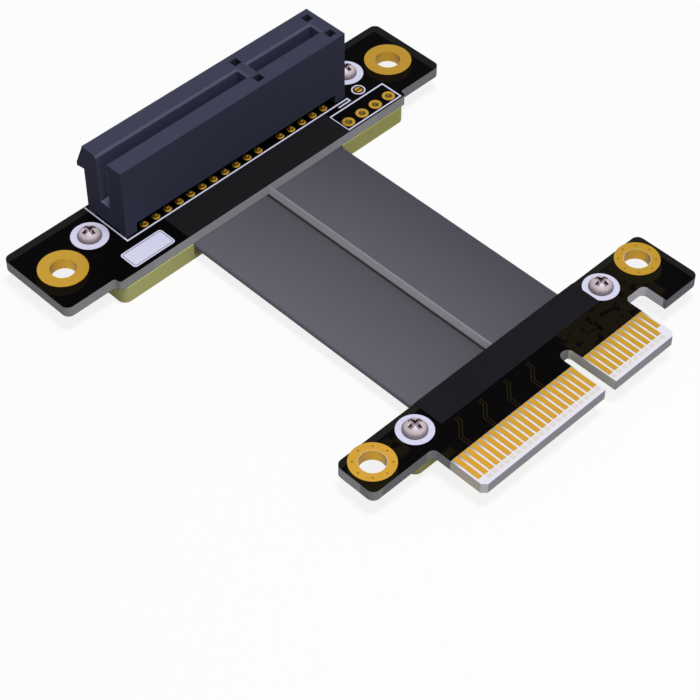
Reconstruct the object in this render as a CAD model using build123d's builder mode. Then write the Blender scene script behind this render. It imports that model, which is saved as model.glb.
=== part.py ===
from build123d import *
import os

os.makedirs("parts", exist_ok=True)

# An x4 card-slot extension: a socket board and a plug board, joined by two flat ribbons.
# Millimetres. +X along the slot, +Y from the plug to the socket, +Z up.
# The two clamp plates rest on Z = 0, and the origin is under the middle of the whole part.

# Boards
board_thickness = 1.6
board_corner_radius = 1.0
inner_corner_radius = 0.8
socket_board_length = 66.65
socket_board_depth = 13.7
socket_front_length = 51.1
socket_ear_setback = 1.0
step_radius = 0.45
plug_board_length = 54.1
plug_ear_depth = 6.35

# Card edge on the plug board
contact_pitch = 1.0
long_contacts = 21
key_pitches = 3
short_contacts = 11
edge_margin = 0.65
edge_reach = 8.15
edge_chamfer = 0.6
key_slot_width = 1.95
key_slot_depth = 7.75
finger_width = 0.7
finger_thickness = 0.05
finger_length = 4.1
finger_setback = 1.27
first_mate_step = 0.9
hook_width = 6.35
hook_reach = 3.75

# Ribbons
free_span = 39.8
ribbon_width = 13.1
ribbon_thickness = 0.95
ribbon_seam = 0.5
divider_thickness = 0.25
divider_top_drop = 0.3
lead_pitch = 1.27
leads_per_ribbon = 10
lead_width = 0.3
lead_thickness = 0.12
lead_length = 1.4
lead_end_gap = 0.6

# Slot housing
housing_left_wall = 3.35
housing_right_wall = 2.8
housing_width = 7.4
housing_height = 11.0
housing_inset = 4.56
housing_edge_round = 0.15
slot_width = 1.85
slot_floor_height = 3.35
slot_lead_in = 0.3
slot_end_wall = 2.0
key_bridge_width = 1.7
foot_length = 1.85
foot_width = 1.25
skirt_height = 1.5
end_skirt_height = 0.4
ridge_length = 6.0
ridge_overhang = 1.4
ridge_bottom = 7.2
ridge_droop = 0.3
ridge_lip = 0.65
ridge_slope_top = 10.8
pocket_side = 1.2
pocket_depth = 1.5
pocket_row_offset = 2.2
pocket_end_inset = 1.35
peg_diameter = 2.3
peg_length = 1.3
peg_inset = 1.75

# Slot contacts
inner_row_offset = 1.25
outer_row_offset = 3.25
contact_width = 0.4
contact_stock = 0.2
cavity_width = 0.6
cavity_outer_offset = 2.05
stem_offset = 1.75
tail_bend_height = 0.35
stem_foot_height = 1.1
beam_root_height = 3.6
touch_offset = 0.68
touch_height = 6.7
tip_offset = 1.25
tip_height = 7.9
tip_clearance = 0.3
contact_clearance = 0.05
tail_length = 1.2
tail_hole_diameter = 0.7
tail_hole_sides = 6

# Mounting, screw and header holes. Small rounds have few sides, which keeps the facets down.
small_round_sides = 12
barrel_sides = 16
mount_hole_diameter = 3.4
ring_wall = 0.15
ring_pad_thickness = 0.05
socket_mount_spacing = 58.1
socket_mount_inset = 6.77
socket_ring_diameter = 6.55
plug_mount_spacing = 47.35
plug_mount_inset = 2.84
plug_ring_diameter = 5.9
screw_diameter = 1.6
screw_head_diameter = 3.2
screw_head_height = 1.25
screw_head_slope = 0.7
recess_span = 1.8
recess_width = 0.48
recess_depth = 0.7
hole_clearance = 0.1
thread_clearance = 0.03
screw_bite = 2.2
socket_screw_spacing = 45.75
socket_screw_inset = 4.6
plug_screw_spacing = 33.3
header_holes = 4
header_pitch = 2.54
header_hole_diameter = 1.0
header_pad_diameter = 1.9
header_end_inset = 5.69
header_front_inset = 1.5

# Cover strips and clamp plates
strip_thickness = 0.12
strip_shift = 0.35
socket_strip_length = 28.9
socket_strip_depth = 4.75
plug_strip_length = 28.4
plug_strip_depth = 4.5
clamp_thickness = 2.6
clamp_corner_radius = 1.1
clamp_proud = 0.1
clamp_mouth_ramp = 1.1
header_relief_margin = 0.2
header_relief_depth = 0.6
ribbon_clearance = 0.05
socket_clamp_length = 50.6
socket_clamp_depth = 12.4
socket_clamp_bar = 5.0
tail_side_clearance = 1.0
plug_clamp_length = 38.6
plug_clamp_depth = 5.7

# Heights
board_bottom = clamp_thickness
board_top = board_bottom + board_thickness
housing_top = board_top + housing_height
ribbon_top = board_bottom
ribbon_bottom = ribbon_top - ribbon_thickness

# Half the band in which an edge or a corner is picked by its place
pick = 0.01

# Places along Y
plug_board_depth = plug_ear_depth + edge_reach
ridge_past_board = housing_width / 2 + ridge_overhang - housing_inset
whole_depth = plug_board_depth + free_span + socket_board_depth + ridge_past_board
socket_back = whole_depth / 2 - ridge_past_board
socket_front = socket_back - socket_board_depth
plug_back = socket_front - free_span
plug_front = plug_back - plug_board_depth
plug_ear_front = plug_back - plug_ear_depth
slot_y = socket_back - housing_inset
socket_mount_y = socket_back - socket_mount_inset
socket_screw_y = socket_back - socket_screw_inset
plug_mount_y = plug_back - plug_mount_inset

# Places along X, with the contact columns centred on X = 0
column_count = long_contacts + short_contacts + key_pitches - 1
first_column = -(column_count - 1) * contact_pitch / 2
last_column = -first_column
key_x = first_column + (long_contacts - 1 + key_pitches / 2) * contact_pitch
long_columns = [first_column + n * contact_pitch for n in range(long_contacts)]
short_columns = [last_column - n * contact_pitch for n in range(short_contacts)]
edge_left = first_column - edge_margin
edge_right = last_column + edge_margin
cavity_top = tip_height + tip_clearance
housing_left = first_column - housing_left_wall
housing_right = last_column + housing_right_wall
housing_length = housing_right - housing_left
housing_x = (housing_left + housing_right) / 2
hook_left = plug_board_length / 2 - hook_width
ribbon_offset = (ribbon_width + ribbon_seam) / 2
ribbon_pack_width = 2 * ribbon_width + ribbon_seam

socket_mounts = [(x, socket_mount_y) for x in (-socket_mount_spacing / 2, socket_mount_spacing / 2)]
socket_screws_at = [
    (x, socket_screw_y) for x in (-socket_screw_spacing / 2, socket_screw_spacing / 2)
]
plug_mounts = [(x, plug_mount_y) for x in (-plug_mount_spacing / 2, plug_mount_spacing / 2)]
plug_screws_at = [(x, plug_mount_y) for x in (-plug_screw_spacing / 2, plug_screw_spacing / 2)]
header_centre = socket_front_length / 2 - header_end_inset
first_header = header_centre - (header_holes - 1) * header_pitch / 2
header_y = socket_front + header_front_inset
header_at = [(first_header + n * header_pitch, header_y) for n in range(header_holes)]
pegs_at = [(housing_left + peg_inset, slot_y), (housing_right - peg_inset, slot_y)]

# The outer tail row takes every second column from the first, and the inner row takes the rest.
outer_columns = long_columns[0::2] + short_columns[1::2]
inner_columns = long_columns[1::2] + short_columns[0::2]
tail_rows = [
    (outer_columns, slot_y - outer_row_offset),
    (inner_columns, slot_y - inner_row_offset),
    (inner_columns, slot_y + inner_row_offset),
    (outer_columns, slot_y + outer_row_offset),
]
tails_at = [(x, y) for columns, y in tail_rows for x in columns]


def small_round(radius, mode=Mode.ADD):
    """A small round outline with few sides."""
    return RegularPolygon(radius, small_round_sides, mode=mode)


def barrel_round(radius, mode=Mode.ADD):
    """The hidden outside of a plated barrel, which its hole in the board repeats."""
    return RegularPolygon(radius, barrel_sides, mode=mode)


def finish(builder, name):
    """Label one finished piece and write its STEP file."""
    builder.part.label = name
    export_step(builder.part, f"parts/{name}.step")
    return builder.part


# The socket board: ears at both ends stand back from the front edge by a rounded step.
with BuildPart() as socket_board:
    with BuildSketch(Plane.XY.offset(board_bottom)):
        with BuildLine():
            Polyline(
                (-socket_board_length / 2, socket_back),
                (socket_board_length / 2, socket_back),
                (socket_board_length / 2, socket_front + socket_ear_setback),
                (socket_front_length / 2, socket_front + socket_ear_setback),
                (socket_front_length / 2, socket_front),
                (-socket_front_length / 2, socket_front),
                (-socket_front_length / 2, socket_front + socket_ear_setback),
                (-socket_board_length / 2, socket_front + socket_ear_setback),
                close=True,
            )
        make_face()
        corners = vertices().group_by(Axis.X)
        fillet(corners[0] + corners[-1], board_corner_radius)
        steps = vertices().filter_by_position(
            Axis.X, -socket_front_length / 2 - pick, socket_front_length / 2 + pick
        )
        fillet(steps, step_radius)
    extrude(amount=board_thickness)
    with BuildSketch(Plane.XY.offset(board_bottom)):
        with Locations(*socket_mounts):
            barrel_round(mount_hole_diameter / 2 + ring_wall)
        with Locations(*socket_screws_at):
            small_round(screw_diameter / 2 + hole_clearance)
        with Locations(*header_at):
            small_round(header_hole_diameter / 2 + ring_wall)
        with Locations(*pegs_at):
            small_round(peg_diameter / 2 + hole_clearance)
        with Locations(*tails_at):
            RegularPolygon(tail_hole_diameter / 2, tail_hole_sides)
    extrude(amount=board_thickness, mode=Mode.SUBTRACT)
finish(socket_board, "socket_board")

# The slot housing: a tall block on four feet, open at its left end.
with BuildPart() as socket_housing:
    with BuildSketch(Plane.XY.offset(board_top)):
        with Locations((housing_x, slot_y)):
            Rectangle(housing_length, housing_width)
    extrude(amount=housing_height)
    # A retention ridge on the back wall at the open end: it droops to a lip below a long slope.
    ridge_root = slot_y + housing_width / 2
    lip_bottom = board_top + ridge_bottom - ridge_droop
    with BuildSketch(Plane.YZ.offset(housing_left)):
        with BuildLine():
            Polyline(
                (ridge_root, board_top + ridge_bottom),
                (ridge_root + ridge_overhang, lip_bottom),
                (ridge_root + ridge_overhang, lip_bottom + ridge_lip),
                (ridge_root, board_top + ridge_slope_top),
                close=True,
            )
        make_face()
    extrude(amount=ridge_length)
    fillet(edges().filter_by(Axis.Z).sort_by(Axis.Y)[:2], housing_edge_round)
    # A trench along each side leaves the tails room, and the outer pads open to view.
    tail_side = inner_row_offset - contact_stock / 2 - contact_clearance
    trench_width = housing_width / 2 - tail_side
    trench_y = tail_side + trench_width / 2
    with BuildSketch(Plane.XY.offset(board_top)):
        with Locations((housing_x, slot_y - trench_y), (housing_x, slot_y + trench_y)):
            Rectangle(housing_length - 2 * foot_length, trench_width)
    extrude(amount=skirt_height, mode=Mode.SUBTRACT)
    with BuildSketch(Plane.XY.offset(board_top)):
        with Locations((housing_x, slot_y)):
            Rectangle(housing_length, housing_width - 2 * foot_width)
    extrude(amount=end_skirt_height, mode=Mode.SUBTRACT)
    # The card slot: a long run that leaves through the left end, the key bridge, a short run.
    long_slot_end = key_x - key_bridge_width / 2
    short_slot_start = key_x + key_bridge_width / 2
    short_slot_end = housing_right - slot_end_wall
    long_slot_length = long_slot_end - housing_left
    short_slot_length = short_slot_end - short_slot_start
    with BuildSketch(Plane.XY.offset(board_top + slot_floor_height)):
        with Locations((housing_left + long_slot_length / 2, slot_y)):
            Rectangle(long_slot_length, slot_width)
        with Locations((short_slot_start + short_slot_length / 2, slot_y)):
            Rectangle(short_slot_length, slot_width)
    extrude(amount=housing_height, mode=Mode.SUBTRACT)
    rim = edges().filter_by_position(
        Axis.Z, housing_top - pick, housing_top + pick
    ).filter_by_position(
        Axis.Y, slot_y - slot_width / 2 - pick, slot_y + slot_width / 2 + pick
    ).filter_by_position(
        Axis.X, housing_left + pick, housing_right - pick
    )
    chamfer(rim, slot_lead_in)
    # Four square core pockets beside the ends of the short run.
    with BuildSketch(Plane.XY.offset(housing_top)):
        pocket_x = housing_right - pocket_end_inset
        with Locations(
            (key_x, slot_y - pocket_row_offset),
            (key_x, slot_y + pocket_row_offset),
            (pocket_x, slot_y - pocket_row_offset),
            (pocket_x, slot_y + pocket_row_offset),
        ):
            Rectangle(pocket_side, pocket_side)
    extrude(amount=-pocket_depth, mode=Mode.SUBTRACT)
    # One stepped cavity for each contact: narrow beside the slot floor, open to the slot above it.
    with BuildSketch(Plane.YZ, mode=Mode.PRIVATE) as cavity_sketch:
        stem_side = stem_offset - contact_stock / 2 - contact_clearance
        for side in (-1, 1):
            with BuildLine():
                Polyline(
                    (side * cavity_outer_offset, board_top + skirt_height),
                    (side * cavity_outer_offset, board_top + cavity_top),
                    (0, board_top + cavity_top),
                    (0, board_top + slot_floor_height),
                    (side * stem_side, board_top + slot_floor_height),
                    (side * stem_side, board_top + skirt_height),
                    close=True,
                )
            make_face()
    cavity = extrude(cavity_sketch.sketch, cavity_width / 2, both=True, mode=Mode.PRIVATE)
    with Locations(*[(x, slot_y, 0) for x in long_columns + short_columns]):
        add(cavity, mode=Mode.SUBTRACT)
    # Two round pegs locate the housing in the board.
    with BuildSketch(Plane.XY.offset(board_top + end_skirt_height)):
        with Locations(*pegs_at):
            small_round(peg_diameter / 2)
    extrude(amount=-peg_length - end_skirt_height)
finish(socket_housing, "socket_housing")


def slot_contacts(name, columns, row_offset, side):
    """Bent spring strips of one tail row. side is -1 for the front wall and +1 for the back."""
    with BuildPart() as contacts:
        with BuildSketch(Plane.YZ.offset(-contact_width / 2), mode=Mode.PRIVATE) as strip:
            with BuildLine(mode=Mode.PRIVATE) as centre_line:
                Polyline(
                    (side * row_offset, board_bottom - tail_length),
                    (side * row_offset, board_top + tail_bend_height),
                    (side * stem_offset, board_top + stem_foot_height),
                    (side * stem_offset, board_top + beam_root_height),
                    (side * touch_offset, board_top + touch_height),
                    (side * tip_offset, board_top + tip_height),
                )
            trace(centre_line.line, contact_stock)
        spring = extrude(strip.sketch, contact_width, mode=Mode.PRIVATE)
        with Locations(*[(x, slot_y, 0) for x in columns]):
            add(spring)
    return finish(contacts, name)


slot_contacts("socket_contacts_front_outer", outer_columns, outer_row_offset, -1)
slot_contacts("socket_contacts_front_inner", inner_columns, inner_row_offset, -1)
slot_contacts("socket_contacts_back_inner", inner_columns, inner_row_offset, 1)
slot_contacts("socket_contacts_back_outer", outer_columns, outer_row_offset, 1)


def plated_holes(name, places, hole_diameter, pad_diameter, outline, barrel_outline):
    """Plated holes through a board: a thin barrel with a flat pad on each side."""
    with BuildPart() as plating:
        with BuildSketch(Plane.XY.offset(board_bottom)):
            with Locations(*places):
                barrel_outline(hole_diameter / 2 + ring_wall)
                outline(hole_diameter / 2, mode=Mode.SUBTRACT)
        extrude(amount=board_thickness)
        pad_underside = board_bottom - ring_pad_thickness
        with BuildSketch(Plane.XY.offset(board_top), Plane.XY.offset(pad_underside)):
            with Locations(*places):
                outline(pad_diameter / 2)
                outline(hole_diameter / 2, mode=Mode.SUBTRACT)
        extrude(amount=ring_pad_thickness)
    return finish(plating, name)


plated_holes(
    "socket_mount_rings", socket_mounts, mount_hole_diameter, socket_ring_diameter, Circle, barrel_round
)
plated_holes(
    "socket_header_pads", header_at, header_hole_diameter, header_pad_diameter, small_round, small_round
)
plated_holes(
    "plug_mount_rings", plug_mounts, mount_hole_diameter, plug_ring_diameter, Circle, barrel_round
)


def cover_strip(name, length, depth, back):
    """A thin strip on top of a board, from the edge at back towards -Y."""
    with BuildPart() as strip:
        with BuildSketch(Plane.XY.offset(board_top)):
            with Locations((strip_shift, back - depth / 2)):
                Rectangle(length, depth)
        extrude(amount=strip_thickness)
    return finish(strip, name)


socket_strip_back = socket_front + socket_strip_depth
cover_strip("socket_cover_strip", socket_strip_length, socket_strip_depth, socket_strip_back)
cover_strip("plug_cover_strip", plug_strip_length, plug_strip_depth, plug_back)


def machine_screws(name, places):
    """Low-headed screws with a cross recess, and the shank through the board into the clamp plate."""
    shank_end = board_bottom - screw_bite
    with BuildPart() as screws:
        with BuildSketch(Plane.XY.offset(shank_end)):
            with Locations(*places):
                small_round(screw_diameter / 2)
        extrude(amount=board_top - shank_end)
        with BuildSketch(Plane.XY.offset(board_top)):
            with Locations(*places):
                small_round(screw_head_diameter / 2)
        extrude(amount=screw_head_height)
        chamfer(edges().group_by(Axis.Z)[-1], screw_head_slope)
        with BuildSketch(Plane.XY.offset(board_top + screw_head_height)):
            with Locations(*places):
                Rectangle(recess_span, recess_width)
                Rectangle(recess_width, recess_span)
        extrude(amount=-recess_depth, mode=Mode.SUBTRACT)
    return finish(screws, name)


machine_screws("socket_screws", socket_screws_at)
machine_screws("plug_screws", plug_screws_at)

# The socket clamp plate: a front bar under the ribbons and two pads that take the screws.
clamp_front = socket_front - clamp_proud
tail_window = last_column - first_column + 2 * tail_side_clearance
with BuildPart() as socket_clamp_plate:
    with BuildSketch():
        with Locations((0, clamp_front + socket_clamp_depth / 2)):
            RectangleRounded(socket_clamp_length, socket_clamp_depth, clamp_corner_radius)
        with Locations((0, clamp_front + socket_clamp_bar + socket_clamp_depth / 2)):
            Rectangle(tail_window, socket_clamp_depth, mode=Mode.SUBTRACT)
        with Locations(*socket_screws_at):
            small_round(screw_diameter / 2 + thread_clearance, mode=Mode.SUBTRACT)
    extrude(amount=clamp_thickness)
    channel_floor = ribbon_bottom - ribbon_clearance
    with BuildSketch(Plane.XY.offset(channel_floor)):
        with Locations((0, clamp_front + socket_clamp_bar / 2)):
            Rectangle(ribbon_pack_width + 2 * ribbon_clearance, socket_clamp_bar)
    extrude(amount=ribbon_thickness + ribbon_clearance, mode=Mode.SUBTRACT)
    # A shallow relief clears the solder side of the header holes.
    with BuildSketch(Plane.XY.offset(clamp_thickness)):
        with Locations((header_centre, socket_front + header_front_inset)):
            Rectangle(
                (header_holes - 1) * header_pitch + header_pad_diameter + 2 * header_relief_margin,
                header_pad_diameter + 2 * header_relief_margin,
            )
    extrude(amount=-header_relief_depth, mode=Mode.SUBTRACT)
    mouth = edges().filter_by(Axis.X).filter_by_position(
        Axis.Z, channel_floor - pick, channel_floor + pick
    ).sort_by(Axis.Y)[0]
    chamfer(mouth, clamp_mouth_ramp)
finish(socket_clamp_plate, "socket_clamp_plate")

# The plug clamp plate: a plain bar with the same channel, mouth towards the socket.
plug_clamp_back = plug_back + clamp_proud
with BuildPart() as plug_clamp_plate:
    with BuildSketch():
        with Locations((0, plug_clamp_back - plug_clamp_depth / 2)):
            RectangleRounded(plug_clamp_length, plug_clamp_depth, clamp_corner_radius)
        with Locations(*plug_screws_at):
            small_round(screw_diameter / 2 + thread_clearance, mode=Mode.SUBTRACT)
    extrude(amount=clamp_thickness)
    with BuildSketch(Plane.XY.offset(channel_floor)):
        with Locations((0, plug_clamp_back - plug_clamp_depth / 2)):
            Rectangle(ribbon_pack_width + 2 * ribbon_clearance, plug_clamp_depth)
    extrude(amount=ribbon_thickness + ribbon_clearance, mode=Mode.SUBTRACT)
    mouth = edges().filter_by(Axis.X).filter_by_position(
        Axis.Z, channel_floor - pick, channel_floor + pick
    ).sort_by(Axis.Y)[-1]
    chamfer(mouth, clamp_mouth_ramp)
finish(plug_clamp_plate, "plug_clamp_plate")

# The plug board: left ear, card edge with its key slot, and a retention hook at the right.
with BuildPart() as plug_board:
    with BuildSketch(Plane.XY.offset(board_bottom)):
        with BuildLine():
            Polyline(
                (-plug_board_length / 2, plug_back),
                (plug_board_length / 2, plug_back),
                (plug_board_length / 2, plug_ear_front - hook_reach),
                (hook_left, plug_ear_front - hook_reach),
                (hook_left, plug_ear_front),
                (edge_right, plug_ear_front),
                (edge_right, plug_front),
                (edge_left, plug_front),
                (edge_left, plug_ear_front),
                (-plug_board_length / 2, plug_ear_front),
                close=True,
            )
        make_face()
        ends = vertices().group_by(Axis.X)
        fillet(ends[0] + ends[-1], board_corner_radius)
        inner = vertices().filter_by_position(
            Axis.X, edge_left - pick, hook_left + pick
        ).filter_by_position(
            Axis.Y, plug_ear_front - pick, plug_ear_front + pick
        )
        fillet(inner, inner_corner_radius)
        chamfer(vertices().group_by(Axis.Y)[0], edge_chamfer)
        with Locations((key_x, plug_front + key_slot_depth - key_slot_width / 2)):
            Circle(key_slot_width / 2, mode=Mode.SUBTRACT)
        straight = key_slot_depth - key_slot_width / 2
        with Locations((key_x, plug_front + straight / 2)):
            Rectangle(key_slot_width, straight, mode=Mode.SUBTRACT)
    extrude(amount=board_thickness)
    with BuildSketch(Plane.XY.offset(board_bottom)):
        with Locations(*plug_mounts):
            barrel_round(mount_hole_diameter / 2 + ring_wall)
        with Locations(*plug_screws_at):
            small_round(screw_diameter / 2 + hole_clearance)
    extrude(amount=board_thickness, mode=Mode.SUBTRACT)
finish(plug_board, "plug_board")


def edge_fingers(name, columns, base_height):
    """Flat gold fingers on one face of the card edge. The last column mates later, so it is shorter."""
    tip = plug_front + finger_setback
    with BuildPart() as fingers:
        with BuildSketch(Plane.XY.offset(base_height)):
            for x in columns:
                length = finger_length - (first_mate_step if x == last_column else 0)
                with Locations((x, tip + finger_length - length / 2)):
                    Rectangle(finger_width, length)
        extrude(amount=finger_thickness)
    return finish(fingers, name)


edge_fingers("plug_fingers_top_long", long_columns, board_top)
edge_fingers("plug_fingers_top_short", short_columns, board_top)
edge_fingers("plug_fingers_bottom_long", long_columns, board_bottom - finger_thickness)
edge_fingers("plug_fingers_bottom_short", short_columns, board_bottom - finger_thickness)

# The ribbons run straight from one clamp channel to the other.
lead_room = lead_length + lead_end_gap
socket_grip = socket_clamp_bar - clamp_proud - lead_room
plug_grip = plug_clamp_depth - clamp_proud - lead_room
ribbon_back = socket_front + socket_grip
ribbon_front = plug_back - plug_grip
ribbon_length = ribbon_back - ribbon_front


def flat_ribbon(name, middle_x):
    """A flat cable with round long edges."""
    with BuildPart() as ribbon:
        with BuildSketch(Plane.XZ.offset(-ribbon_back)):
            with Locations((middle_x, ribbon_bottom + ribbon_thickness / 2)):
                SlotOverall(ribbon_width, ribbon_thickness)
        extrude(amount=ribbon_length)
    return finish(ribbon, name)


flat_ribbon("ribbon_left", -ribbon_offset)
flat_ribbon("ribbon_right", ribbon_offset)

# The divider stands on edge in the seam. Its ends step down to pass under the boards.
with BuildPart() as ribbon_divider:
    with BuildSketch(Plane.YZ.offset(-divider_thickness / 2)):
        with BuildLine():
            divider_top = board_top - divider_top_drop
            Polyline(
                (ribbon_front, ribbon_bottom),
                (ribbon_back, ribbon_bottom),
                (ribbon_back, ribbon_top),
                (socket_front, ribbon_top),
                (socket_front, divider_top),
                (plug_back, divider_top),
                (plug_back, ribbon_top),
                (ribbon_front, ribbon_top),
                close=True,
            )
        make_face()
    extrude(amount=divider_thickness)
finish(ribbon_divider, "ribbon_divider")


def ribbon_leads(name, middle_x, middle_y):
    """Bare flat conductors between a ribbon's end and the joints under a board."""
    with BuildPart() as leads:
        with BuildSketch(Plane.XY.offset(board_bottom - lead_thickness)):
            with Locations((middle_x, middle_y)):
                with GridLocations(lead_pitch, 1, leads_per_ribbon, 1):
                    Rectangle(lead_width, lead_length)
        extrude(amount=lead_thickness)
    return finish(leads, name)


socket_lead_y = ribbon_back + lead_length / 2
plug_lead_y = ribbon_front - lead_length / 2
ribbon_leads("ribbon_left_socket_leads", -ribbon_offset, socket_lead_y)
ribbon_leads("ribbon_right_socket_leads", ribbon_offset, socket_lead_y)
ribbon_leads("ribbon_left_plug_leads", -ribbon_offset, plug_lead_y)
ribbon_leads("ribbon_right_plug_leads", ribbon_offset, plug_lead_y)
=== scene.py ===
"""Looks for the card-slot extension: printed boards, moulded slot, ribbons, plates and screws."""

import math

import bmesh
import bpy
import numpy as np
from mathutils import Matrix, Vector


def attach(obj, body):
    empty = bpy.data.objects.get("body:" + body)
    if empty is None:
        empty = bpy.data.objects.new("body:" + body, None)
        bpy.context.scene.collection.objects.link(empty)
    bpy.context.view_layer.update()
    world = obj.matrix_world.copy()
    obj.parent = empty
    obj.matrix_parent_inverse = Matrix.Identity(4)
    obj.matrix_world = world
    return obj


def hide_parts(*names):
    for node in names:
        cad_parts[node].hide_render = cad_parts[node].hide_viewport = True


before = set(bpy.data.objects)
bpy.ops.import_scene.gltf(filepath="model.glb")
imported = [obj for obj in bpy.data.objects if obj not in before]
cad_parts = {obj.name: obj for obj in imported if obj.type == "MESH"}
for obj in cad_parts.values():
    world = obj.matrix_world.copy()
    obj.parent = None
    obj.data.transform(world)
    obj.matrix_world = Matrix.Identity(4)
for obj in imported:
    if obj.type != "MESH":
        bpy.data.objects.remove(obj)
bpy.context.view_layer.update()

MM = 0.001

# Heights and places of the part, in millimetres, as the CAD frame has them.
BOARD_BOTTOM = 2.6
BOARD_TOP = 4.2
HOUSING_TOP = 15.2
HOUSING_LEFT = -19.85
SLOT_LEAD_IN = 0.3
SLOT_FLOOR = 7.55
WALL_FOOT = 5.9
SOCKET_BACK = 33.705
SLOT_Y = 29.145
OUTER_ROW, INNER_ROW = 3.25, 1.25
PLUG_BACK = -19.795
PLUG_FRONT = -34.295
PLUG_MOUNT_Y = -22.635
SOCKET_MOUNTS = [(-29.05, 26.935), (29.05, 26.935)]
PLUG_MOUNTS = [(-23.675, PLUG_MOUNT_Y), (23.675, PLUG_MOUNT_Y)]
SOCKET_SCREWS = [(-22.875, 29.105), (22.875, 29.105)]
PLUG_SCREWS = [(-16.65, PLUG_MOUNT_Y), (16.65, PLUG_MOUNT_Y)]
PEGS = [(-17.95, SLOT_Y), (17.55, SLOT_Y)]
HEADER_PITCH = 2.54
HEADER_MIDDLE, HEADER_Y = 19.86, 21.505
HEADER = [(HEADER_MIDDLE + HEADER_PITCH * (n - 1.5), HEADER_Y) for n in range(4)]
LONG_COLUMNS = [-16.5 + n for n in range(21)]
SHORT_COLUMNS = [16.5 - n for n in range(11)]
OUTER_COLUMNS = LONG_COLUMNS[0::2] + SHORT_COLUMNS[1::2]
INNER_COLUMNS = LONG_COLUMNS[1::2] + SHORT_COLUMNS[0::2]
INK = 0.02
PLATING = 0.05
LINE_WIDTH = 0.22
HOLE_RADIUS = 1.7
SCREW_OPENING = 0.95
BRIDGE = (21.65, 25.3)
LABEL_BOX = (-22.5, 20.65, -15.65, 23.75)
BARE_FRONT = -28.885
DIVIDER_TOP = 3.9
RIBBON_WIDTH = 13.1
RIBBON_LEFTS = (-13.35, 0.25)
SIDE_LOW, SIDE_HIGH = BOARD_BOTTOM + 0.03, BOARD_TOP - 0.03
TAIL_SEGMENTS = 24
HEADER_SEGMENTS = 48
SKY = 0.27
FLOOR_GLOW = 0.85


# Meshes
def grid_faces(rows, columns, wrap_rows, wrap_columns):
    """Quads of a grid of points, row after row. A wrapped side joins its last line to its first."""
    i = np.arange(rows if wrap_rows else rows - 1)
    j = np.arange(columns if wrap_columns else columns - 1)
    i, j = np.meshgrid(i, j, indexing="ij")
    k, m = (i + 1) % rows, (j + 1) % columns
    quads = np.stack([i * columns + j, i * columns + m, k * columns + m, k * columns + j], -1)
    return quads.reshape(-1, 4)


def lathe(profile, segments):
    """A closed outline of (radius, height) points turned about Z.

    The point at profile step i and turn angle a is (r_i cos a, r_i sin a, z_i). The outline runs
    anticlockwise, with the radius to the right and the height up, so that the faces point outwards.
    """
    profile = np.asarray(profile, float)
    angle = np.linspace(0, 2 * math.pi, segments, endpoint=False)
    r, z = profile[:, 0], profile[:, 1]
    points = np.stack(
        [np.outer(np.cos(angle), r), np.outer(np.sin(angle), r), np.tile(z, (segments, 1))], -1
    )
    return points.reshape(-1, 3), grid_faces(segments, len(profile), True, True)


def ring(inner, outer, low, high, segments=64):
    """A flat ring: the rectangle from inner to outer radius and low to high, turned about Z."""
    return lathe([(inner, low), (outer, low), (outer, high), (inner, high)], segments)


def band(points, width, low, high, closed=False):
    """A flat printed line of even width along a path, with mitred corners.

    At each path point the two edges lie at half the width along the mean of the two neighbouring
    normals, lengthened by one over the cosine of half the turn.
    """
    p = np.asarray(points, float)
    after = np.roll(p, -1, 0) - p
    before = p - np.roll(p, 1, 0)
    if not closed:
        after[-1] = before[-1]
        before[0] = after[0]
    after /= np.linalg.norm(after, axis=1)[:, None]
    before /= np.linalg.norm(before, axis=1)[:, None]
    mean = after + before
    mean /= np.linalg.norm(mean, axis=1)[:, None]
    normal = np.stack([-mean[:, 1], mean[:, 0]], 1)
    stretch = 1 / np.clip((mean * after).sum(1), 0.3, 1)
    side = normal * (stretch * width / 2)[:, None]
    left, right = p + side, p - side
    flat = np.stack([left, right, right, left], 1)
    height = np.tile([high, high, low, low], (len(p), 1))
    points = np.concatenate([flat, height[..., None]], -1).reshape(-1, 3)
    faces = grid_faces(len(p), 4, closed, True)
    if not closed:
        last = 4 * (len(p) - 1)
        ends = np.array([[3, 2, 1, 0], [last, last + 1, last + 2, last + 3]])
        faces = np.concatenate([faces, ends])
    return points, faces


def slab(outline, low, high):
    """A flat plate: a convex outline, anticlockwise from above, carried from low to high."""
    p = np.asarray(outline, float)
    n = len(p)
    points = np.concatenate(
        [np.column_stack([p, np.full(n, low)]), np.column_stack([p, np.full(n, high)])]
    )
    i = np.arange(n)
    j = (i + 1) % n
    sides = np.stack([i, j, j + n, i + n], 1)
    return points, [list(f) for f in sides] + [list(i[::-1]), list(i + n)]


def rounded_box(x0, y0, x1, y1, radius, steps=6):
    """The outline of a box with round corners: a quarter turn about each corner's centre."""
    turn = np.linspace(0, math.pi / 2, steps)
    corners = [(x1, y0, -1), (x1, y1, 0), (x0, y1, 1), (x0, y0, 2)]
    parts = []
    for x, y, quarter in corners:
        centre_x = x - radius if x == x1 else x + radius
        centre_y = y - radius if y == y1 else y + radius
        a = turn + quarter * math.pi / 2
        x_line, y_line = centre_x + radius * np.cos(a), centre_y + radius * np.sin(a)
        parts.append(np.column_stack([x_line, y_line]))
    return np.concatenate(parts)


def moved(shape, x=0.0, y=0.0, z=0.0):
    """The same shape, shifted."""
    points, faces = shape
    return points + np.array([x, y, z]), faces


def repeated(shape, places):
    """One shape at many (x, y) places, as one set of points and faces."""
    points, faces = shape
    faces = np.asarray(faces)
    places = np.column_stack([np.asarray(places, float), np.zeros(len(places))])
    all_points = (places[:, None, :] + points[None]).reshape(-1, 3)
    step = np.arange(len(places)) * len(points)
    all_faces = (step[:, None, None] + faces[None]).reshape(-1, faces.shape[1])
    return all_points, all_faces


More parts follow.
